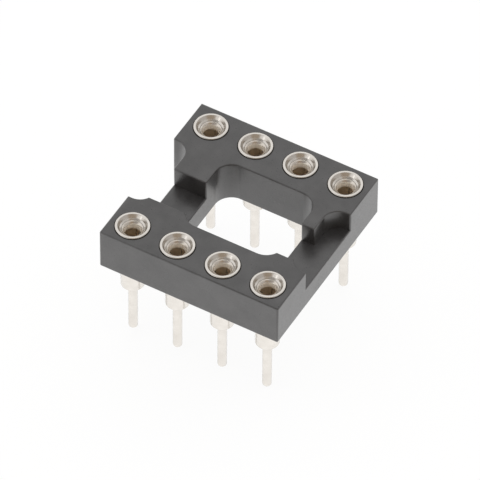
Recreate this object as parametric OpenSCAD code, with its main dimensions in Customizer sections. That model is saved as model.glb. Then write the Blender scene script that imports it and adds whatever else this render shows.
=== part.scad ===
// Turned-pin IC socket, two rows of contacts in an open moulded frame.
// X runs along the rows with the pin 1 end at -X, Y runs across them, Z is up.
// The origin is in the middle of the contact pattern, level with the tips of the solder tails.

/* [Layout] */
// Distance from one contact to the next along a row
pitch = 2.54; // [2.3:0.02:2.9]
// Distance between the two rows of contacts
row_spacing = 7.62; // [6.9:0.02:10.2]
// Number of contacts in each row
row_count = 4; // [4:1:8]

/* [Moulded frame] */
// Height of the frame from its underside to its top
frame_h = 2.45; // [2.1:0.05:3]
// How far each end stops short of half a pitch beyond the last contact
end_relief = 0.06; // [0:0.01:0.2]
// Rail width outside the line of the contacts
rail_outer_w = 1.15; // [1.1:0.01:1.6]
// Rail width inside the line of the contacts
rail_inner_w = 1.54; // [1.2:0.01:1.6]
// Width of the crossbar at the pin 1 end, along the rows
index_bar_w = 1.83; // [1.2:0.01:2]
// Width of the crossbar at the far end, along the rows
far_bar_w = 1.8; // [1.2:0.01:2]
// Height of the crossbars where the channel lowers them
bar_h = 1.28; // [0.8:0.02:1.6]
// Corner radius of the window between the crossbars
window_r = 0.92; // [0.4:0.02:1.2]

/* [End notches] */
// Depth of the notch right through the frame at the pin 1 end
index_notch_depth = 1.06; // [1:0.01:1.3]
// Depth of the notch down to the crossbar at the far end
far_notch_depth = 1.06; // [1:0.01:1.3]
// Corner radius inside both notches
notch_r = 1.05; // [0.4:0.01:1.05]

/* [Channel over the crossbars] */
// Front wall of the channel, measured from the middle of the frame towards the front row
channel_front = 1.77; // [1.2:0.01:1.9]
// Back wall of the channel, measured from the middle of the frame towards the back row
channel_back = 0.47; // [0.2:0.01:1.2]
// Fillet at the foot of the channel's back wall
channel_fillet = 0.12; // [0.05:0.01:0.2]

/* [Turned sleeve] */
// Height of the sleeve's rim above the board it is soldered to
stand_h = 4.2; // [4:0.05:4.8]
// Length of the solder tail below the shoulder
tail_l = 3.2; // [2:0.1:4]
// Diameter of the solder tail
tail_d = 0.48; // [0.4:0.01:0.55]
// Diameter of the sleeve's head
head_d = 1.75; // [1.65:0.01:1.9]
// Thickness of the head
head_h = 0.55; // [0.5:0.01:0.8]
// How far the head stands out of the frame's top
head_proud = 0.07; // [0.03:0.01:0.2]
// Diameter of the sleeve's barrel below the head
barrel_d = 1.23; // [1.18:0.01:1.36]
// Diameter of the retaining ring under the head, which holds the sleeve in the frame
barb_d = 1.31; // [1.29:0.01:1.4]
// Length of the retaining ring, which tapers down to the barrel
barb_h = 0.4; // [0.2:0.02:0.6]
// Chamfer at the foot of the shoulder
shoulder_chamfer = 0.08; // [0.03:0.01:0.15]
// Height of the rounded end of the solder tail
tip_h = 0.18; // [0.1:0.01:0.22]
// Flat left at the very end of the tail
tip_flat_d = 0.2; // [0.1:0.01:0.3]

/* [Sleeve mouth] */
// Diameter of the funnel at the rim
mouth_d = 1.47; // [1.4:0.01:1.55]
// Depth of the funnel
funnel_depth = 0.28; // [0.15:0.01:0.35]
// Rounding of the rim's outer edge
rim_round = 0.05; // [0.02:0.01:0.08]
// Diameter of the counterbore that seats the clip's flange
seat_d = 1.1; // [1.04:0.01:1.2]
// Diameter of the blind bore below the seat
bore_d = 0.96; // [0.92:0.01:1]
// Depth of the blind bore below the rim
bore_depth = 3.4; // [3:0.1:3.8]

/* [Sprung clip] */
// Thickness of the clip's sheet
clip_t = 0.06; // [0.04:0.005:0.08]
// Thickness of the clip's flange, which is also how deep its seat is
flange_h = 0.12; // [0.08:0.01:0.16]
// Rounding where the flange turns down into the ring
lip_round = 0.08; // [0.04:0.01:0.09]
// Height of the unbroken ring under the flange
ring_h = 0.33; // [0.2:0.01:0.5]
// Number of sprung fingers
finger_count = 4; // [3:1:6]
// Length of the fingers from the ring to the throat
finger_l = 1.35; // [1:0.05:1.6]
// Width of the throat between the fingers
throat_d = 0.38; // [0.3:0.01:0.4]
// Width of the slits between the fingers
slit_w = 0.09; // [0.05:0.01:0.12]
// How far the fingers turn out again below the throat
flare_h = 0.2; // [0.1:0.01:0.3]

/* [Clearances] */
// Gap round the sleeve's head in its counterbore, each side
head_gap = 0.04; // [0.02:0.005:0.08]
// Gap round the sleeve's retaining ring in the frame, each side
press_gap = 0.005; // [0.002:0.001:0.01]
// Gap round the clip in the sleeve, each side
clip_gap = 0.01; // [0.005:0.001:0.02]

/* [Hidden] */
$fn = 64;

// Overall sizes of the frame
frame_l = row_count * pitch - 2 * end_relief;
frame_w = row_spacing + 2 * rail_outer_w;
opening_w = row_spacing - 2 * rail_inner_w;

// Levels above the tips of the tails
board_z = tail_l;
rim_z = tail_l + stand_h;
frame_top_z = rim_z - head_proud;
frame_z = frame_top_z - frame_h;
bar_top_z = frame_z + bar_h;
head_seat_z = rim_z - head_h;
clip_seat_z = rim_z - funnel_depth - flange_h;
ring_foot_z = clip_seat_z - ring_h;
throat_z = ring_foot_z - finger_l;

// Places along X where the crossbars begin and end
index_bar_x = -frame_l / 2 + index_notch_depth;
far_bar_x = frame_l / 2 - far_bar_w;
window_x = index_bar_x + index_bar_w;

// A cut reaches this far past the face it opens
cut = 1;

// Colours of the moulding, the plated sleeves and the clips
MOULDING = "#3c3b3d";
PLATING = "#d9d6cf";
SPRING = "#8c7a5c";

// Points of an arc about the centre c, from the angle a to the angle b
function arc(c, r, a, b, steps = 6) =
    [for (i = [0:steps]) c + r * [cos(a + (b - a) * i / steps), sin(a + (b - a) * i / steps)]];

// Where contact number i stands: the front row from the pin 1 end, then back along the other row
function contact_place(i) =
    let (
        front = i <= row_count,
        column = front ? i - 1 : 2 * row_count - i
    )
    [(column - (row_count - 1) / 2) * pitch, (front ? -1 : 1) * row_spacing / 2];

// A rectangle with round corners, from the corner at low to the corner at high
module rounded_rect(low, high, r) {
    translate([low.x + r, low.y])
        square([high.x - low.x - 2 * r, high.y - low.y]);
    translate([low.x, low.y + r])
        square([high.x - low.x, high.y - low.y - 2 * r]);
    for (x = [low.x + r, high.x - r], y = [low.y + r, high.y - r])
        translate([x, y])
            circle(r);
}

// Plan of the notch at the +X end: open outwards, with round inner corners
module notch_plan(depth) {
    rounded_rect(
        [frame_l / 2 - depth, -opening_w / 2],
        [frame_l / 2 + notch_r + cut, opening_w / 2],
        notch_r
    );
}

// Plan of the frame: two rails, two crossbars, the window and the through notch
module frame_plan() {
    difference() {
        square([frame_l, frame_w], center = true);
        rounded_rect([window_x, -opening_w / 2], [far_bar_x, opening_w / 2], window_r);
        mirror([1, 0])
            notch_plan(index_notch_depth);
    }
}

// The channel that lowers both crossbars, with a fillet at the foot of its back wall
module channel() {
    length = frame_l + 2 * cut;
    depth = frame_h - bar_h + cut;
    translate([-length / 2, -channel_front, bar_top_z])
        cube([length, channel_front + channel_back - channel_fillet, depth]);
    translate([-length / 2, -channel_front, bar_top_z + channel_fillet])
        cube([length, channel_front + channel_back, depth]);
    translate([0, channel_back - channel_fillet, bar_top_z + channel_fillet])
        rotate([0, 90, 0])
            cylinder(h = length, r = channel_fillet, center = true);
}

// The stepped hole that holds one sleeve
module sleeve_seat() {
    translate([0, 0, frame_z - cut])
        cylinder(h = frame_h + cut, d = barb_d + 2 * press_gap);
    translate([0, 0, head_seat_z])
        cylinder(h = head_h + cut, d = head_d + 2 * head_gap);
}

// The moulded frame
module housing() {
    color(MOULDING)
        difference() {
            translate([0, 0, frame_z])
                linear_extrude(frame_h)
                    frame_plan();
            channel();
            translate([0, 0, bar_top_z])
                linear_extrude(frame_h)
                    notch_plan(far_notch_depth);
            for (i = [1:2 * row_count])
                translate(contact_place(i))
                    sleeve_seat();
        }
}

// Half section of a sleeve: up the outside from the tail's tip, then down the inside of its mouth
module sleeve_section() {
    tip_r = tip_flat_d / 2;
    tail_r = tail_d / 2;
    barrel_r = barrel_d / 2;
    head_r = head_d / 2;
    polygon(concat(
        [[0, 0], [tip_r, 0]],
        [for (i = [1:5]) [tip_r + (tail_r - tip_r) * sin(18 * i), tip_h * (1 - cos(18 * i))]],
        [
            [tail_r, board_z],
            [barrel_r - shoulder_chamfer, board_z],
            [barrel_r, board_z + shoulder_chamfer],
            [barrel_r, head_seat_z - barb_h],
            [barb_d / 2, head_seat_z - barb_h / 3],
            [barb_d / 2, head_seat_z],
            [head_r, head_seat_z]
        ],
        arc([head_r - rim_round, rim_z - rim_round], rim_round, 0, 90, 4),
        [
            [mouth_d / 2, rim_z],
            [seat_d / 2, rim_z - funnel_depth],
            [seat_d / 2, clip_seat_z],
            [bore_d / 2, clip_seat_z],
            [bore_d / 2, rim_z - bore_depth],
            [0, rim_z - bore_depth - bore_d / 4]
        ]
    ));
}

// One turned sleeve, from its funnel mouth down to its solder tail
module sleeve(i) {
    color(PLATING)
        translate(contact_place(i))
            rotate_extrude()
                sleeve_section();
}

// Half section of a clip: the flange, the ring and one finger, which closes to the throat and turns out
module clip_section() {
    out_r = bore_d / 2 - clip_gap;
    in_r = out_r - clip_t;
    throat_r = throat_d / 2;
    foot_z = throat_z - flare_h;
    foot_r = throat_r + flare_h / 2;
    flange_top = clip_seat_z + flange_h;
    polygon(concat(
        [
            [out_r, clip_seat_z],
            [seat_d / 2 - clip_gap, clip_seat_z],
            [seat_d / 2 - clip_gap, flange_top]
        ],
        arc([in_r + lip_round, flange_top - lip_round], lip_round, 90, 180, 3),
        [
            [in_r, ring_foot_z],
            [throat_r, throat_z],
            [foot_r, foot_z],
            [foot_r + clip_t, foot_z],
            [throat_r + clip_t, throat_z],
            [out_r, ring_foot_z]
        ]
    ));
}

// One sprung clip, slit from below into its fingers
module clip(i) {
    slit_foot = throat_z - flare_h - cut;
    color(SPRING)
        translate(contact_place(i))
            difference() {
                rotate_extrude()
                    clip_section();
                for (k = [0:finger_count - 1])
                    rotate([0, 0, (k + 0.5) * 360 / finger_count])
                        translate([0, -slit_w / 2, slit_foot])
                            cube([bore_d, slit_w, ring_foot_z - slit_foot]);
            }
}

housing();
for (i = [1:2 * row_count]) {
    sleeve(i);
    clip(i);
}
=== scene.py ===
# %% [markdown]
# This script dresses an eight-way socket for an integrated circuit: a black moulded frame,
# eight turned and plated sleeves, and a small sprung clip inside each sleeve.
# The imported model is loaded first. It fixes the size and place of every piece. Its solids could
# be shown as they are, with better materials, but their edges are sharp. So each piece is made
# again here with its small rounds, and rides on the model's one body, which is called root.

# %% Load the frame
import math

import bmesh
import bpy
from mathutils import Matrix, Vector


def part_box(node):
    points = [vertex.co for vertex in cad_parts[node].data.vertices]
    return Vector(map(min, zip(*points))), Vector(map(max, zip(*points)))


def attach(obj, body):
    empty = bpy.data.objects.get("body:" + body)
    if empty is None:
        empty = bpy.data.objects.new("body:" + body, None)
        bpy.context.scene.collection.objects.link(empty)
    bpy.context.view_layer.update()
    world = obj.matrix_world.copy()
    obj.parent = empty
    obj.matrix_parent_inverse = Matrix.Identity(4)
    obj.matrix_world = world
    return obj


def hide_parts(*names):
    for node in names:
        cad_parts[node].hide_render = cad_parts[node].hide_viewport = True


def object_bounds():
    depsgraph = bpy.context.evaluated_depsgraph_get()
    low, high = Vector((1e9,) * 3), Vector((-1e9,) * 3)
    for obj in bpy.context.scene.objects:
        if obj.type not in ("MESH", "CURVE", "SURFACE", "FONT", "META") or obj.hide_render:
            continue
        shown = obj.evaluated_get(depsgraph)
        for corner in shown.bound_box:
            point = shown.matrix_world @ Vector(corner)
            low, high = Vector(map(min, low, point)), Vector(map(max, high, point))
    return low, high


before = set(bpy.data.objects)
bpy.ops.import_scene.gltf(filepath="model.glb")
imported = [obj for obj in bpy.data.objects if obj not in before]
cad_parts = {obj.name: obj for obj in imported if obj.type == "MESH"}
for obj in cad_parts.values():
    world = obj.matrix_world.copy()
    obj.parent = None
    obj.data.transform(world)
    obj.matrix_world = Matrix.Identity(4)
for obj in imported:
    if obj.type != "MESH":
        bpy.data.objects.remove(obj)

BODY = "root"
MM = 0.001
cad_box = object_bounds()
print("CAD box in mm", [round(v / MM, 3) for corner in cad_box for v in corner])

# %% [markdown]
# The model gives the levels and the contact grid, so nothing here is placed by eye.
# A sleeve's box is centred on its contact, and the whole model's box ends at the tails' tips
# below and at the sleeves' rims above. The sizes that a box can't tell are written once, in
# millimetres, and become metres where a mesh is made.

# %% Places taken from the frame
SLEEVES = sorted(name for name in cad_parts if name.startswith("sleeve_"))
CLIPS = sorted(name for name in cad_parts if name.startswith("clip_"))
TIP_Z, RIM_Z = cad_box[0].z, cad_box[1].z


def contact_place(node):
    """The point on a contact's axis that is level with the tips of the tails, in metres."""
    low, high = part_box(node)
    return Vector(((low.x + high.x) / 2, (low.y + high.y) / 2, TIP_Z))


print(len(SLEEVES), "sleeves, the first at", [round(v / MM, 2) for v in contact_place("sleeve_1")])

# %% [markdown]
# A turned part is drawn as half of its section: a few corners, each with its own small radius,
# because no tool leaves a corner perfectly sharp and light always catches the round.
# A Bevel modifier could round the finished piece, but a radius is easier to write beside the
# corner that it belongs to. This helper swaps each corner of the drawing for its arc.

# %% A section with rounded corners
def rounded(corners, steps=4):
    """Points along a line of (r, z, radius) corners, each radius turned into an arc."""
    points = []
    for i, (x, z, radius) in enumerate(corners):
        here = Vector((x, z))
        if radius == 0 or i in (0, len(corners) - 1):
            points.append(here)
            continue
        before = (Vector(corners[i - 1][:2]) - here).normalized()
        after = (Vector(corners[i + 1][:2]) - here).normalized()
        half = before.angle(after) / 2
        reach = radius / math.tan(half)
        centre = here + (before + after).normalized() * (radius / math.sin(half))
        start = here + before * reach - centre
        turn = start.angle_signed(here + after * reach - centre)
        for k in range(steps + 1):
            a = -turn * k / steps
            points.append(centre + Vector((
                start.x * math.cos(a) - start.y * math.sin(a),
                start.x * math.sin(a) + start.y * math.cos(a),
            )))
    return points


one_corner = rounded([(0, 0, 0), (1, 0, 0.1), (1, 1, 0)])
print("a rounded corner takes", len(one_corner) - 2, "points")

# %% [markdown]
# The sleeve is turned from brass bar on an automatic lathe. Outside, from the tip up, it has a
# thin solder tail, a barrel, a barb that holds it in the frame, and a head. Inside, from the
# mouth down, a funnel guides a lead in, a counterbore takes the clip's flange, and a blind bore
# ends in the drill's point. Each row below is a corner of that section: its distance from the
# axis, its height, and the radius that it is rounded to.

# %% Sleeve section, in millimetres from the tail's tip
TAIL_R = 0.24
SHOULDER_Z = 3.2
BARREL_R = 0.615
HEAD_R = 0.875
HEAD_Z = 6.85
BARB_R = 0.655
BARB_START_Z = HEAD_Z - 0.4
BARB_FULL_Z = HEAD_Z - 0.13
RIM = RIM_Z / MM
MOUTH_R = 0.752
WAIST_R = 0.64
WAIST_Z = RIM - 0.18
SEAT_R = 0.55
FUNNEL_Z = RIM - 0.25
CLIP_SEAT_Z = RIM - 0.4
BORE_R = 0.48
BORE_Z = RIM - 3.4

sleeve_section = rounded([
    (0, 0, 0),  # tip of the tail
    (TAIL_R, 0, 0.15),
    (TAIL_R, SHOULDER_Z, 0.03),
    (BARREL_R, SHOULDER_Z, 0.07),  # shoulder
    (BARREL_R, BARB_START_Z, 0),
    (BARB_R, BARB_FULL_Z, 0),  # barb
    (BARB_R, HEAD_Z, 0),
    (HEAD_R, HEAD_Z, 0.03),  # head
    (HEAD_R, RIM, 0.05),
    (MOUTH_R, RIM, 0.03),  # mouth
    (WAIST_R, WAIST_Z, 0.02),
    (SEAT_R, FUNNEL_Z, 0.02),  # foot of the funnel
    (SEAT_R, CLIP_SEAT_Z, 0),  # counterbore
    (BORE_R, CLIP_SEAT_Z, 0),
    (BORE_R, BORE_Z, 0),
    (0, BORE_Z - BORE_R / 2, 0),  # drill's point
])
print(len(sleeve_section), "points in the sleeve's section")

# %% [markdown]
# Every piece starts as loose points and faces, which this helper makes into an object. A real
# turned or moulded surface has no facets, so the faces are shaded smooth, except where they
# meet at a steep angle.

# %% Make a piece from its points and faces
SHARP_DEG = 40


def finish_mesh(name, work, place, sharp_deg=SHARP_DEG):
    """Wraps a bmesh in an object at a place, in metres, shaded smooth between sharp edges."""
    bmesh.ops.recalc_face_normals(work, faces=work.faces)
    mesh = bpy.data.meshes.new(name)
    work.to_mesh(mesh)
    work.free()
    for polygon in mesh.polygons:
        polygon.use_smooth = True
    mesh.set_sharp_from_angle(angle=math.radians(sharp_deg))
    piece = bpy.data.objects.new(name, mesh)
    bpy.context.scene.collection.objects.link(piece)
    piece.location = place
    return piece


print("edges look sharp from", SHARP_DEG, "degrees on")

# %% [markdown]
# Now the section is turned. Blender's Screw modifier could do it, but a short loop gives full
# control of the rings of points, and the piece's origin stays on its axis, which the turning
# marks in its finish need.


# %% Turn a section about its axis
def ring_of_points(work, r, z, angles):
    """New points round the axis, at a radius and a height in metres."""
    return [work.verts.new((r * math.cos(a), r * math.sin(a), z)) for a in angles]


def turned(name, section, place, sides=96):
    """A solid of revolution from a section in millimetres that starts and ends on the axis."""
    work = bmesh.new()
    face = work.faces.new
    foot = work.verts.new((0, 0, section[0].y * MM))
    top = work.verts.new((0, 0, section[-1].y * MM))
    angles = [math.tau * k / sides for k in range(sides)]
    rings = [ring_of_points(work, point.x * MM, point.y * MM, angles) for point in section[1:-1]]
    for k in range(sides):
        after = (k + 1) % sides
        face((foot, rings[0][after], rings[0][k]))
        face((rings[-1][k], rings[-1][after], top))
        for low, high in zip(rings, rings[1:]):
            face((low[k], low[after], high[after], high[k]))
    return finish_mesh(name, work, place)


sleeves = []
for node in SLEEVES:
    sleeve = turned("turned_" + node, sleeve_section, contact_place(node))
    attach(sleeve, BODY)
    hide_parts(node)
    sleeves.append(sleeve)
print("sleeves turned:", len(sleeves), "with", len(sleeves[0].data.polygons), "faces each")

# %% [markdown]
# The clip is drawn from thin strip. A flange rests in the sleeve's counterbore, and its lip
# slopes in and rounds over into a plain ring. Below the ring, four fingers close to a throat
# and turn out again at their tips. A solid cut by thin wedges would give the same slits, but
# the sheet is so thin that it is easier to draw it as two skins, outer and inner, row by row.

# %% Clip sizes, in millimetres
CLIP_GAP = 0.01
SHEET = 0.06
OUT_R = BORE_R - CLIP_GAP
IN_R = OUT_R - SHEET
FLANGE_R = SEAT_R - CLIP_GAP
FLANGE_TOP = FUNNEL_Z
FLANGE_EDGE = 0.01
FLANGE_EDGE_FOOT = 0.03
LIP_R = 0.5
LIP_Z = FLANGE_TOP - 0.015
LIP_SLOPE = math.radians(48)
LIP_ROUND = 0.08
CORNER_REACH = 0.035
CORNER_STEP = 0.005
RING_TOP_Z = CLIP_SEAT_Z - 0.08
RING_FOOT_Z = CLIP_SEAT_Z - 0.33
THROAT_Z = RING_FOOT_Z - 1.35
THROAT_R = 0.19
FLARE_Z = THROAT_Z - 0.2
FLARE_R = 0.29
FLARE_CURVE = 1.5
FINGERS = 4
SLIT = 0.035
print("strip of", SHEET, "mm, closing from", round(IN_R, 2), "to", THROAT_R, "mm")

# %% [markdown]
# Each row of the clip says how high and how wide the outer skin is, the same for the inner
# skin, and whether the slits are cut there. The rows go from the flange down to the tips.


# %% Clip rows
def flange_rows(steps=6):
    """The flange's outer edge and its lip, which slopes in and rounds over into the ring."""
    edge_r = FLANGE_R - FLANGE_EDGE
    rows = [
        (CLIP_SEAT_Z + FLANGE_EDGE_FOOT, FLANGE_R, FLANGE_TOP - FLANGE_EDGE, FLANGE_R, False),
        (CLIP_SEAT_Z, edge_r, FLANGE_TOP, edge_r, False),
        (CLIP_SEAT_Z, OUT_R + CORNER_REACH + CORNER_STEP, LIP_Z, LIP_R, False),
    ]
    slope_foot_r = IN_R + LIP_ROUND * (1 - math.sin(LIP_SLOPE))
    slope_foot_z = LIP_Z - (LIP_R - slope_foot_r) * math.tan(LIP_SLOPE)
    for k in range(steps + 1):
        a = LIP_SLOPE + (math.pi / 2 - LIP_SLOPE) * k / steps
        rows.append((
            CLIP_SEAT_Z - CORNER_STEP * (k + 1),
            OUT_R + CORNER_REACH * (1 - k / steps),
            slope_foot_z - LIP_ROUND * (math.cos(LIP_SLOPE) - math.cos(a)),
            IN_R + LIP_ROUND * (1 - math.sin(a)),
            False,
        ))
    return rows


def sheet_rows(z_from, z_to, r_from, r_to, steps, curve=1, slit=True):
    """Rows of sheet from one height and inner radius to the next, leaving out the first."""
    shares = [k / steps for k in range(1, steps + 1)]
    heights = [z_from + (z_to - z_from) * share for share in shares]
    radii = [r_from + (r_to - r_from) * share ** curve for share in shares]
    return [(z, r + SHEET, z, r, slit) for z, r in zip(heights, radii)]


clip_rows = (
    flange_rows()
    + sheet_rows(RING_TOP_Z, RING_FOOT_Z, IN_R, IN_R, 4, slit=False)
    + sheet_rows(RING_FOOT_Z, THROAT_Z, IN_R, THROAT_R, 12)
    + sheet_rows(THROAT_Z, FLARE_Z, THROAT_R, FLARE_R, 4, FLARE_CURVE)
)
print(len(clip_rows), "rows in the clip")

# %% [markdown]
# The two skins are joined into one closed sheet: over the flange, round the tips, and along
# both sides of each slit. A slit keeps its width all the way down, although the fingers close,
# so each row works out from its own radius the angle that the slit takes up.


# %% Join the two skins
def finger_angles(radius, across):
    """The angles of the points in one row, evenly spread over each finger between its slits."""
    share = math.tau / FINGERS
    half_slit = math.asin(SLIT / 2 / radius)
    return [
        finger * share + half_slit + (share - 2 * half_slit) * j / across
        for finger in range(FINGERS)
        for j in range(across + 1)
    ]


def slit_sheet(name, rows, place, across=20):
    """A closed sheet from rows of outer and inner points, slit into fingers where rows say so."""
    work = bmesh.new()
    face = work.faces.new
    outer, inner = [], []
    for z_out, r_out, z_in, r_in, slit in rows:
        angles = finger_angles(r_out if slit else OUT_R, across)
        outer.append(ring_of_points(work, r_out * MM, z_out * MM, angles))
        inner.append(ring_of_points(work, r_in * MM, z_in * MM, angles))
    tips = len(rows) - 1
    ring_foot = max(i for i, row in enumerate(rows) if not row[-1])
    for c in range(len(angles)):
        d = (c + 1) % len(angles)
        over_slit = c % (across + 1) == across
        end = ring_foot if over_slit else tips
        face((outer[0][d], outer[0][c], inner[0][c], inner[0][d]))
        face((outer[end][c], outer[end][d], inner[end][d], inner[end][c]))
        for i in range(end):
            face((outer[i][c], outer[i][d], outer[i + 1][d], outer[i + 1][c]))
            face((inner[i][d], inner[i][c], inner[i + 1][c], inner[i + 1][d]))
        for i in range(end, tips):
            face((outer[i][c], outer[i + 1][c], inner[i + 1][c], inner[i][c]))
            face((outer[i + 1][d], outer[i][d], inner[i][d], inner[i + 1][d]))
    return finish_mesh(name, work, place, sharp_deg=50)


for radius in (OUT_R, THROAT_R + SHEET):
    slit_deg = round(math.degrees(SLIT / radius), 1)
    print("at", round(radius, 2), "mm from the axis a slit takes", slit_deg, "degrees")

# %% Build the clips
clips = []
for node in CLIPS:
    clip = slit_sheet("sprung_" + node, clip_rows, contact_place(node))
    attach(clip, BODY)
    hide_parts(node)
    clips.append(clip)
print("clips made:", len(clips), "with", len(clips[0].data.polygons), "faces each")

# %% [markdown]
# The frame is one injection moulding: two rails joined by two low crossbars, with a window
# between them. The notch at the pin 1 end goes right through, and the one at the far end stops
# level with the crossbar's top. On the real tool a steel block is cut to the negative.
# Here a block is cut by simple solids in the same way, with Boolean modifiers, because every
# wall of the frame is either flat or part of a cylinder and the cuts keep those walls true.

# %% Frame sizes, in millimetres
HOUSING_LOW, HOUSING_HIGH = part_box("housing")
FRAME_L = (HOUSING_HIGH.x - HOUSING_LOW.x) / MM
FRAME_W = (HOUSING_HIGH.y - HOUSING_LOW.y) / MM
FRAME_Z = HOUSING_LOW.z / MM
FRAME_TOP = HOUSING_HIGH.z / MM
HALF_L, HALF_W = FRAME_L / 2, FRAME_W / 2
BAR_TOP = FRAME_Z + 1.28
NOTCH_W = 4.4
INDEX_NOTCH_DEPTH = 1.02
INDEX_NOTCH_R = 0.8
FAR_NOTCH_DEPTH = 1.06
FAR_NOTCH_R = 0.85
INDEX_BAR_W = 1.87
FAR_BAR_W = 1.8
WINDOW_W = 4.54
WINDOW_R = 0.92
CHANNEL_FRONT = 1.77
CHANNEL_BACK = 0.47
print("frame in mm", round(FRAME_L, 3), round(FRAME_W, 3), round(FRAME_TOP - FRAME_Z, 3))

# %% [markdown]
# The block and most of its cutters are straight solids, each raised from a flat drawing. Blender
# could extrude the drawing, but joining two copies of it takes as few lines, and it serves for
# solids that stand up and for the one that lies along the frame.


# %% Raise a drawing into a block
def outline(low, high, radius, steps=15):
    """Corner points of a rectangle with round corners, anticlockwise."""
    points = []
    for x, y, start in (
        (high[0] - radius, high[1] - radius, 0),
        (low[0] + radius, high[1] - radius, 90),
        (low[0] + radius, low[1] + radius, 180),
        (high[0] - radius, low[1] + radius, 270),
    ):
        for k in range(steps + 1):
            a = math.radians(start + 90 * k / steps)
            points.append((x + radius * math.cos(a), y + radius * math.sin(a)))
    return points


def walled(name, foot_corners, top_corners):
    """A straight solid between two drawings with the same corners, in millimetres."""
    work = bmesh.new()
    foot, top = [
        [work.verts.new((x * MM, y * MM, z * MM)) for x, y, z in corners]
        for corners in (foot_corners, top_corners)
    ]
    work.faces.new(reversed(foot))
    work.faces.new(top)
    for k in range(len(foot)):
        after = (k + 1) % len(foot)
        work.faces.new((foot[k], foot[after], top[after], top[k]))
    return finish_mesh(name, work, (0, 0, 0))


def prism(name, points, low, high):
    """An upright solid over an outline, from the level low to the level high."""
    return walled(name, [(x, y, low) for x, y in points], [(x, y, high) for x, y in points])


block_corners = [(-HALF_L, -HALF_W), (HALF_L, -HALF_W), (HALF_L, HALF_W), (-HALF_L, HALF_W)]
moulding = prism("moulded_frame", block_corners, FRAME_Z, FRAME_TOP)
print("block of", len(moulding.data.polygons), "faces")

# %% [markdown]
# The straight cutters are the window, the two notches and the channel over both crossbars.
# Each reaches a millimetre past the block, because a cut that ends exactly on a face can leave
# a skin of no thickness there.

# %% The straight cutters
CUT = 1.0


def notch_outline(end, depth, radius):
    """The notch at one end: end is 1 for +X and -1 for -X."""
    inner = HALF_L - depth
    outer = HALF_L + radius + CUT
    low, high = sorted((inner * end, outer * end))
    return outline((low, -NOTCH_W / 2), (high, NOTCH_W / 2), radius)


def channel_cutter():
    """The trough over both crossbars, drawn across Y and Z and laid along X."""
    front, back, top = -CHANNEL_FRONT, CHANNEL_BACK, FRAME_TOP + CUT
    section = ((front, BAR_TOP), (back, BAR_TOP), (back, top), (front, top))
    reach = HALF_L + CUT
    near_end, far_end = ([(x, y, z) for y, z in section] for x in (-reach, reach))
    return walled("channel_cutter", near_end, far_end)


window_start = -HALF_L + INDEX_NOTCH_DEPTH + INDEX_BAR_W
window_end = HALF_L - FAR_BAR_W
window = outline((window_start, -WINDOW_W / 2), (window_end, WINDOW_W / 2), WINDOW_R)
index_notch = notch_outline(-1, INDEX_NOTCH_DEPTH, INDEX_NOTCH_R)
far_notch = notch_outline(1, FAR_NOTCH_DEPTH, FAR_NOTCH_R)
cutters = [
    prism("window_cutter", window, FRAME_Z - CUT, FRAME_TOP + CUT),
    prism("index_notch_cutter", index_notch, FRAME_Z - CUT, FRAME_TOP + CUT),
    prism("far_notch_cutter", far_notch, BAR_TOP, FRAME_TOP + CUT),
    channel_cutter(),
]
print(len(cutters), "straight cutters ready")

# %% [markdown]
# The sleeves' holes are stepped: narrow for the barrel and its barb, wide for the head. The
# cutter is turned like a sleeve and made a hair wider, which leaves the fine dark line that
# shows round each head. Then the cutters go through the block one after another.

# %% Cut the block
BARB_SLACK = 0.005
HEAD_GAP = 0.025


def seat_cutter(node):
    """The stepped hole for one sleeve, a hair wider than its barb and its head."""
    hole, seat = BARB_R + BARB_SLACK, HEAD_R + HEAD_GAP
    low, high = FRAME_Z - CUT, FRAME_TOP + CUT
    section = ((0, low), (hole, low), (hole, HEAD_Z), (seat, HEAD_Z), (seat, high), (0, high))
    return turned("cutter_for_" + node, [Vector(p) for p in section], contact_place(node))


def apply_modifiers(piece):
    """Replaces a piece's mesh by what its modifiers make of it."""
    view = bpy.context.evaluated_depsgraph_get()
    made = bpy.data.meshes.new_from_object(piece.evaluated_get(view), depsgraph=view)
    piece.modifiers.clear()
    piece.data = made


cutters += [seat_cutter(node) for node in SLEEVES]
for cutter in cutters:
    cut = moulding.modifiers.new("Cut", "BOOLEAN")
    cut.operation = "DIFFERENCE"
    cut.solver = "EXACT"
    cut.object = cutter
    apply_modifiers(moulding)
    bpy.data.objects.remove(cutter)
print("cut block:", len(moulding.data.vertices), "vertices,", len(moulding.data.polygons), "faces")

# %% [markdown]
# A mould's edges are never quite sharp, and the small rounds are what catch the light.
# The outer edges get a full round, those that face the back less, and the rims of the sleeve
# holes about a third. One width for all edges would be simpler, but a bevel weight on each
# edge can say how much it takes. The inner corners stay plain: a round there would show as a
# bright line that the real moulding hardly has.

# %% How round each edge is
RIM_SHARE = 0.35
RIM_REACH = HEAD_R + 0.06
LESS_AT_BACK = 0.6
CORNER = math.radians(30)
FLAT = math.radians(0.5)
SAME_POINT = 0.0005
hole_axes = [contact_place(node) for node in SLEEVES]


def round_share(edge):
    """How much of the full round an edge takes, from 0 for an inner corner to 1."""
    middle = (edge.verts[0].co + edge.verts[1].co) / 2
    if min((middle - axis).to_2d().length for axis in hole_axes) < RIM_REACH * MM:
        return RIM_SHARE
    if edge.calc_face_angle_signed(0) <= 0:
        return 0
    facing_back = max(0, *(face.normal.y for face in edge.link_faces))
    return 1 - LESS_AT_BACK * facing_back


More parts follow.
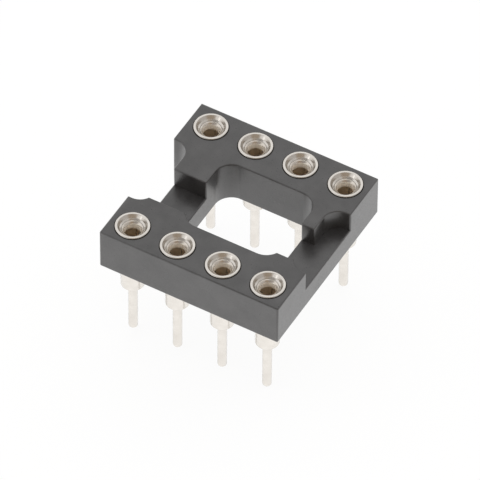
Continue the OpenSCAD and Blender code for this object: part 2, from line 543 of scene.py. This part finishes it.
work = bmesh.new()
work.from_mesh(moulding.data)
bmesh.ops.remove_doubles(work, verts=work.verts, dist=SAME_POINT * MM)
bmesh.ops.dissolve_limit(work, angle_limit=FLAT, verts=work.verts, edges=work.edges)
weights = work.edges.layers.float.new("bevel_weight_edge")
corners = [e for e in work.edges if len(e.link_faces) == 2 and e.calc_face_angle(0) >= CORNER]
for edge in corners:
    edge[weights] = round_share(edge)
print("edges given a round:", sum(edge[weights] > 0 for edge in corners), "of", len(corners))
work.to_mesh(moulding.data)
work.free()

# %% Round the edges
EDGE_ROUND = 0.08
bevel = moulding.modifiers.new("Round the edges", "BEVEL")
bevel.limit_method = "WEIGHT"
bevel.width = EDGE_ROUND * MM
bevel.segments = 3
bevel.use_clamp_overlap = False
bevel.miter_outer = "MITER_ARC"
bevel.loop_slide = True
apply_modifiers(moulding)
print("rounded moulding:", len(moulding.data.polygons), "faces")

# %% [markdown]
# Smooth shading blends the light from face to face. That suits the rounds, but it would smear
# the inner corners, so their edges are marked as sharp. The marks are made after the bevel,
# which drops earlier ones. A Weighted Normal modifier then lets the large faces decide, so
# that the flats stay flat beside their narrow rounds.

# %% Shade the moulding
work = bmesh.new()
work.from_mesh(moulding.data)
inner_corners = [
    e for e in work.edges if len(e.link_faces) == 2 and e.calc_face_angle_signed(0) < -CORNER
]
for edge in inner_corners:
    edge.smooth = False
print("inner corner edges kept sharp:", len(inner_corners))
work.to_mesh(moulding.data)
work.free()
for polygon in moulding.data.polygons:
    polygon.use_smooth = True
shade = moulding.modifiers.new("Keep the flats flat", "WEIGHTED_NORMAL")
shade.weight = 100
shade.keep_sharp = True
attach(moulding, BODY)
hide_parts("housing")

# %% [markdown]
# The finishes come next. Each is a small node tree on the Principled shader, with its pattern
# taken from the object's own coordinates, so it stays put whichever way the part is seen.
# Photographs of a surface could be wrapped round the pieces instead, but noise stays fine at
# any distance. The helpers below only shorten the writing of nodes and links.


# %% Helpers for node trees
def feed(node, inputs):
    """Sets a node's inputs, and links those whose value is the output of another node."""
    for key, value in inputs.items():
        if isinstance(value, bpy.types.NodeSocket):
            node.id_data.links.new(value, node.inputs[key])
        else:
            node.inputs[key].default_value = value


def add(tree, kind, inputs=None, **settings):
    """Adds a node to a tree, with its settings made first and then its inputs."""
    node = tree.nodes.new(kind)
    for key, value in settings.items():
        setattr(node, key, value)
    feed(node, inputs or {})
    return node


def blend(tree, share, first, second, kind="RGBA"):
    """A colour, or a number of the kind FLOAT, that goes from first to second with the share."""
    mix = add(tree, "ShaderNodeMix", {"Factor": share, "A": first, "B": second}, data_type=kind)
    return mix.outputs["Result"]


def noise(tree, where, scale, detail, roughness=0.5):
    """A cloudy pattern. Its scale is about how many clouds fit in a metre."""
    return add(tree, "ShaderNodeTexNoise", {
        "Vector": where, "Scale": scale, "Detail": detail, "Roughness": roughness,
    }).outputs["Fac"]


print("helpers ready: feed, add, blend, noise")

# %% [markdown]
# All finishes of this part are built alike. Broad clouds drift between two close tones, and a
# fine pattern sets how glossy each point is and raises or lowers it a little. These helpers
# hold that, so that the plastic and the metals differ only in their patterns and numbers.

# %% Helpers for the finishes
PATTERN_LOW, PATTERN_HIGH = 0.3, 0.7


def new_material(name):
    """A new material, with its node tree and its Principled shader."""
    material = bpy.data.materials.new(name)
    material.use_nodes = True
    return material, material.node_tree, material.node_tree.nodes["Principled BSDF"]


def two_tone(tree, clouds, spread, dark, pale):
    """A colour between a dark and a pale tone. The spread says where the clouds reach each."""
    ramp = add(tree, "ShaderNodeValToRGB", {"Fac": clouds})
    for stop, position, tone in zip((0, 1), spread, (dark, pale)):
        ramp.color_ramp.elements[stop].position = position
        ramp.color_ramp.elements[stop].color = (*tone, 1)
    return ramp.outputs["Color"]


def skin(tree, shader, colour, pattern, rough, strength, depth):
    """Gives a shader its colour, and takes its gloss and bump from one fine pattern."""
    gloss = add(tree, "ShaderNodeMapRange", {
        "Value": pattern, "From Min": PATTERN_LOW, "From Max": PATTERN_HIGH,
        "To Min": rough[0], "To Max": rough[1],
    }).outputs["Result"]
    bump = add(tree, "ShaderNodeBump", {
        "Height": pattern, "Strength": strength, "Distance": depth * MM,
    }).outputs["Normal"]
    feed(shader, {"Base Color": colour, "Roughness": gloss, "Normal": bump})
    return gloss


print("a fine pattern is read from", PATTERN_LOW, "to", PATTERN_HIGH)

# %% [markdown]
# The frame is glass-filled thermoplastic, black but never quite: it is a dark grey that shows
# its skin by gloss. Broad faint clouds come from the flow of the melt, and a fine grain
# from the spark-eroded tool breaks up the reflection. The colour is kept dark and the index of
# refraction high, because most of what the eye sees on such plastic is reflected light.

# %% Black moulded plastic
PLASTIC_DARK = (0.024, 0.0225, 0.0225)
PLASTIC_PALE = (0.052, 0.050, 0.050)
PLASTIC_ROUGH = (0.27, 0.38)
PLASTIC_IOR = 1.72
FLOW_CLOUDS = 900
FLOW_SPREAD = (0.3, 0.7)
TOOL_GRAIN = 16000
TOOL_GRAIN_DEPTH = 0.004

plastic, tree, shader = new_material("black moulded plastic")
where = add(tree, "ShaderNodeTexCoord").outputs["Object"]
clouds = noise(tree, where, FLOW_CLOUDS, 4, 0.6)
colour = two_tone(tree, clouds, FLOW_SPREAD, PLASTIC_DARK, PLASTIC_PALE)
grain = noise(tree, where, TOOL_GRAIN, 2, 0.6)
skin(tree, shader, colour, grain, PLASTIC_ROUGH, strength=0.6, depth=TOOL_GRAIN_DEPTH)
feed(shader, {"IOR": PLASTIC_IOR})
moulding.data.materials.clear()
moulding.data.materials.append(plastic)
print("plastic on", moulding.name)

# %% [markdown]
# The sleeves are plated, so they are bright, and the lathe's marks show through the plating
# as fine rings. Rings could be cut into the mesh, but they are finer than its faces. Here they
# are noise read by radius and height alone, which is why each origin was kept on its axis.

# %% Plated metal with turning marks
PLATING_CLOUDS = 1500
PLATING_SPREAD = (0.35, 0.65)
PLATING_METALLIC = 0.95
PLATING_EDGE_TINT = (0.82, 0.82, 0.82, 1)


def plated(name, dark, pale, rough, marks, mark_depth):
    """A bright metal whose fine rings run round the piece's own axis."""
    material, tree, shader = new_material(name)
    where = add(tree, "ShaderNodeTexCoord").outputs["Object"]
    parts = add(tree, "ShaderNodeSeparateXYZ", {"Vector": where})
    height = parts.outputs["Z"]
    flat = add(tree, "ShaderNodeCombineXYZ", {"X": parts.outputs["X"], "Y": parts.outputs["Y"]})
    radius = add(tree, "ShaderNodeVectorMath", {0: flat.outputs["Vector"]}, operation="LENGTH")
    section = add(tree, "ShaderNodeCombineXYZ", {"X": radius.outputs["Value"], "Y": height})
    rings = noise(tree, section.outputs["Vector"], marks, 2, 0.6)
    clouds = noise(tree, where, PLATING_CLOUDS, 3)
    colour = two_tone(tree, clouds, PLATING_SPREAD, dark, pale)
    gloss = skin(tree, shader, colour, rings, rough, strength=0.5, depth=mark_depth)
    feed(shader, {"Metallic": PLATING_METALLIC, "Specular Tint": PLATING_EDGE_TINT})
    return material, shader, height, colour, gloss


tin = plated(
    "bright plating", dark=(0.60, 0.57, 0.53), pale=(0.66, 0.63, 0.59), rough=(0.17, 0.27),
    marks=14000, mark_depth=0.0012,
)[0]
for sleeve in sleeves:
    sleeve.data.materials.append(tin)
print("plating on", len(sleeves), "sleeves")

# %% [markdown]
# A clip gets three looks along one piece of strip. The flange is bright metal and the fingers
# are bare bronze. The ring between them is painted pale and so matt that it hardly mirrors
# anything. This is painted light: it makes the ring's wall deep inside the sleeve look lit, so
# the clip is lighter there than on the fingers below. Three materials would need borders in the
# mesh. One material that changes with the height gives soft borders between the three.

# %% Spring metal
# Painted light: the ring's pale colour and low metallic stand in for light reaching its wall
# inside the sleeve.
RING_PAINTED_LIGHT_COLOUR = (0.95, 0.89, 0.80, 1)
RING_ROUGH = 0.6
RING_METALLIC = 0.1
FLANGE_COLOUR = (0.64, 0.595, 0.54, 1)
FLANGE_ROUGH = 0.25
strip, shader, height, bare_colour, bare_rough = plated(
    "sprung strip", dark=(0.73, 0.64, 0.52), pale=(0.79, 0.69, 0.57), rough=(0.42, 0.52),
    marks=9000, mark_depth=0.003,
)
tree = strip.node_tree


def rising(low, high):
    """A share that goes from 0 to 1 between two heights on the clip, in millimetres."""
    return add(tree, "ShaderNodeMapRange", {
        "Value": height, "From Min": low * MM, "From Max": high * MM,
    }).outputs["Result"]


# The painted light on the ring starts just above the fingers and gives way to the flange's metal
# near the top.
above_fingers = rising(RING_FOOT_Z + 0.03, RING_FOOT_Z + 0.11)
on_flange = rising(FLANGE_TOP - 0.13, FLANGE_TOP - 0.1)


def zones(kind, fingers, ring, flange):
    """A value or colour that changes from the fingers to the ring and again to the flange."""
    below_flange = blend(tree, above_fingers, fingers, ring, kind)
    return blend(tree, on_flange, below_flange, flange, kind)


feed(shader, {
    "Base Color": zones("RGBA", bare_colour, RING_PAINTED_LIGHT_COLOUR, FLANGE_COLOUR),
    "Roughness": zones("FLOAT", bare_rough, RING_ROUGH, FLANGE_ROUGH),
    "Metallic": zones("FLOAT", 1.0, RING_METALLIC, 1.0),
})
for clip in clips:
    clip.data.materials.append(strip)
print("spring metal on", len(clips), "clips")

# %% [markdown]
# The set is a white table in a white tent. A white floor under even light would come out as
# pale grey, and more light would spoil the socket's own tones. So the floor is a pale matt
# sheet that gives off some light of its own, but only where the camera or a shiny surface
# looks at it. It shows as white, and still takes the socket's soft shadow.

# %% Floor
FLOOR_SIZE = 4.0
FLOOR_COLOUR = (0.94, 0.94, 0.94, 1)
GLOW_SEEN = 1.02
GLOW_MORE_IN_METAL = 0.48
GLOW_SHARE = 0.9
bpy.ops.mesh.primitive_plane_add(size=FLOOR_SIZE, location=(0, 0, TIP_Z))
floor = bpy.context.active_object
floor.name = "white_table"
sheet, tree, shader = new_material("white table")
tree.nodes.clear()
seen = add(tree, "ShaderNodeLightPath")
by_camera, by_metal = seen.outputs["Is Camera Ray"], seen.outputs["Is Glossy Ray"]
strength = add(tree, "ShaderNodeMath", {
    0: by_metal, 1: GLOW_MORE_IN_METAL, 2: GLOW_SEEN,
}, operation="MULTIPLY_ADD")
either = add(tree, "ShaderNodeMath", {0: by_camera, 1: by_metal}, operation="MAXIMUM")
share = add(tree, "ShaderNodeMath", {0: either.outputs[0], 1: GLOW_SHARE}, operation="MULTIPLY")
matt = add(tree, "ShaderNodeBsdfDiffuse", {"Color": FLOOR_COLOUR})
glow = add(tree, "ShaderNodeEmission", {"Color": (1, 1, 1, 1), "Strength": strength.outputs[0]})
mix = add(tree, "ShaderNodeMixShader", {
    0: share.outputs[0], 1: matt.outputs[0], 2: glow.outputs[0],
})
add(tree, "ShaderNodeOutputMaterial", {"Surface": mix.outputs[0]})
floor.data.materials.append(sheet)
print("floor level in mm", round(floor.location.z / MM, 3))

# %% [markdown]
# The tent is the world, and gives all the light: white all round, with soft round patches that
# are darker or brighter. The socket shows them as its shades and streaks. Lamps could be hung
# in the scene instead, but then each shade would need a lamp or a screen of its own, and a
# patch is placed by its direction alone. The camera's own rays see plain white.

# %% World
world = bpy.data.worlds.new("white tent")
bpy.context.scene.world = world
world.use_nodes = True
tree = world.node_tree
where = add(tree, "ShaderNodeTexCoord").outputs["Generated"]


def toward(azimuth, elevation):
    """A direction from the socket, in degrees. Azimuth 0 is the front and 90 the right."""
    a, e = math.radians(azimuth), math.radians(elevation)
    return Vector((math.sin(a) * math.cos(e), -math.cos(a) * math.cos(e), math.sin(e)))


def patch(azimuth, elevation, full, gone):
    """How far a direction lies inside a round patch of the tent, from 0 outside to 1 inside."""
    near = add(tree, "ShaderNodeVectorMath", {
        0: where, 1: toward(azimuth, elevation),
    }, operation="DOT_PRODUCT")
    return add(tree, "ShaderNodeMapRange", {
        "Value": near.outputs["Value"],
        "From Min": math.cos(math.radians(gone)),
        "From Max": math.cos(math.radians(full)),
    }, interpolation_type="SMOOTHSTEP").outputs["Result"]


def grey(level, warmth=0.0):
    """A grey of some level. Warmth takes out some of its blue, and half as much of its green."""
    return (level, level * (1 - warmth / 2), level * (1 - warmth), 1)


print("the front is toward", [round(v, 1) for v in toward(0, 0)])

# %% [markdown]
# The tent's roof is a trace brighter and cooler than its sides. Over that come the patches, each
# mixed over the ones before it. Their places were found from what the funnels mirror: a dark
# streak or a bright spot in a round mirror tells the direction that it comes from.

# %% Light of the tent
TENT_SIDES = (1.1, 0.03)
TENT_ROOF = (1.12, 0.0)
# Each patch: azimuth, elevation, full inside this angle, gone outside this one, level, warmth.
TENT_PATCHES = (
    (85, 0, 35, 70, 0.6, 0.08),  # shade on the right, at the height of the table
    (30, 32, 24, 38, 0.42, 0.34),  # the warm dark of the room, below the camera
    (-12, 46, 16, 28, 0.4, 0.1),  # a smaller dark part, front left and higher
    (-31, 12, 2, 6, 2.2, 0.0),  # two small bright spots, front left and low
    (-31, 25, 2, 6, 2.2, 0.0),
    (30, 78, 9, 16, 1.5, 0.0),  # a bright part overhead: the streak in each funnel
)
walls = blend(tree, patch(0, 90, 44, 76), grey(*TENT_SIDES), grey(*TENT_ROOF))
for azimuth, elevation, full, gone, level, warmth in TENT_PATCHES:
    walls = blend(tree, patch(azimuth, elevation, full, gone), walls, grey(level, warmth))
seen = add(tree, "ShaderNodeLightPath")
walls = blend(tree, seen.outputs["Is Camera Ray"], walls, grey(1))
feed(tree.nodes["Background"], {"Color": walls, "Strength": 1.0})
print("tent ready, with", len(TENT_PATCHES), "patches")

# %% [markdown]
# The camera stands to the right of the front row and looks down steeply from far away, with a
# long lens, so the two rows stay almost parallel in the picture. Its angles were worked out
# from the eight rims, whose real spacing is known. It could be aimed with a Track To
# constraint, but three directions at right angles say exactly how it stands, roll included.

# %% Camera
CAMERA_AZIMUTH = 29.676
CAMERA_ELEVATION = 48.049
CAMERA_ROLL = math.radians(0.433)
CAMERA_DISTANCE = 0.39107
LENS_MM = 600.08
SENSOR_MM = 36
AIM_RIGHT = 0.0504 * MM
AIM_UP = -1.7467 * MM
side = math.radians(CAMERA_AZIMUTH)
back = toward(CAMERA_AZIMUTH, CAMERA_ELEVATION)
right = Vector((math.cos(side), math.sin(side), 0))
up = back.cross(right)
lens = bpy.data.cameras.new("camera")
lens.sensor_width = SENSOR_MM
lens.lens = LENS_MM
lens.clip_start = 0.01
lens.clip_end = 10
camera = bpy.data.objects.new("camera", lens)
bpy.context.scene.collection.objects.link(camera)
aim = Vector((0, 0, RIM_Z)) + right * AIM_RIGHT + up * AIM_UP
camera.location = aim + back * CAMERA_DISTANCE
rolled_right = right * math.cos(CAMERA_ROLL) + up * math.sin(CAMERA_ROLL)
rolled_up = up * math.cos(CAMERA_ROLL) - right * math.sin(CAMERA_ROLL)
camera.rotation_mode = "QUATERNION"
camera.rotation_quaternion = Matrix((rolled_right, rolled_up, back)).transposed().to_quaternion()
bpy.context.scene.camera = camera
bpy.context.scene.view_settings.view_transform = "Standard"
print("camera at", [round(v, 4) for v in camera.location])
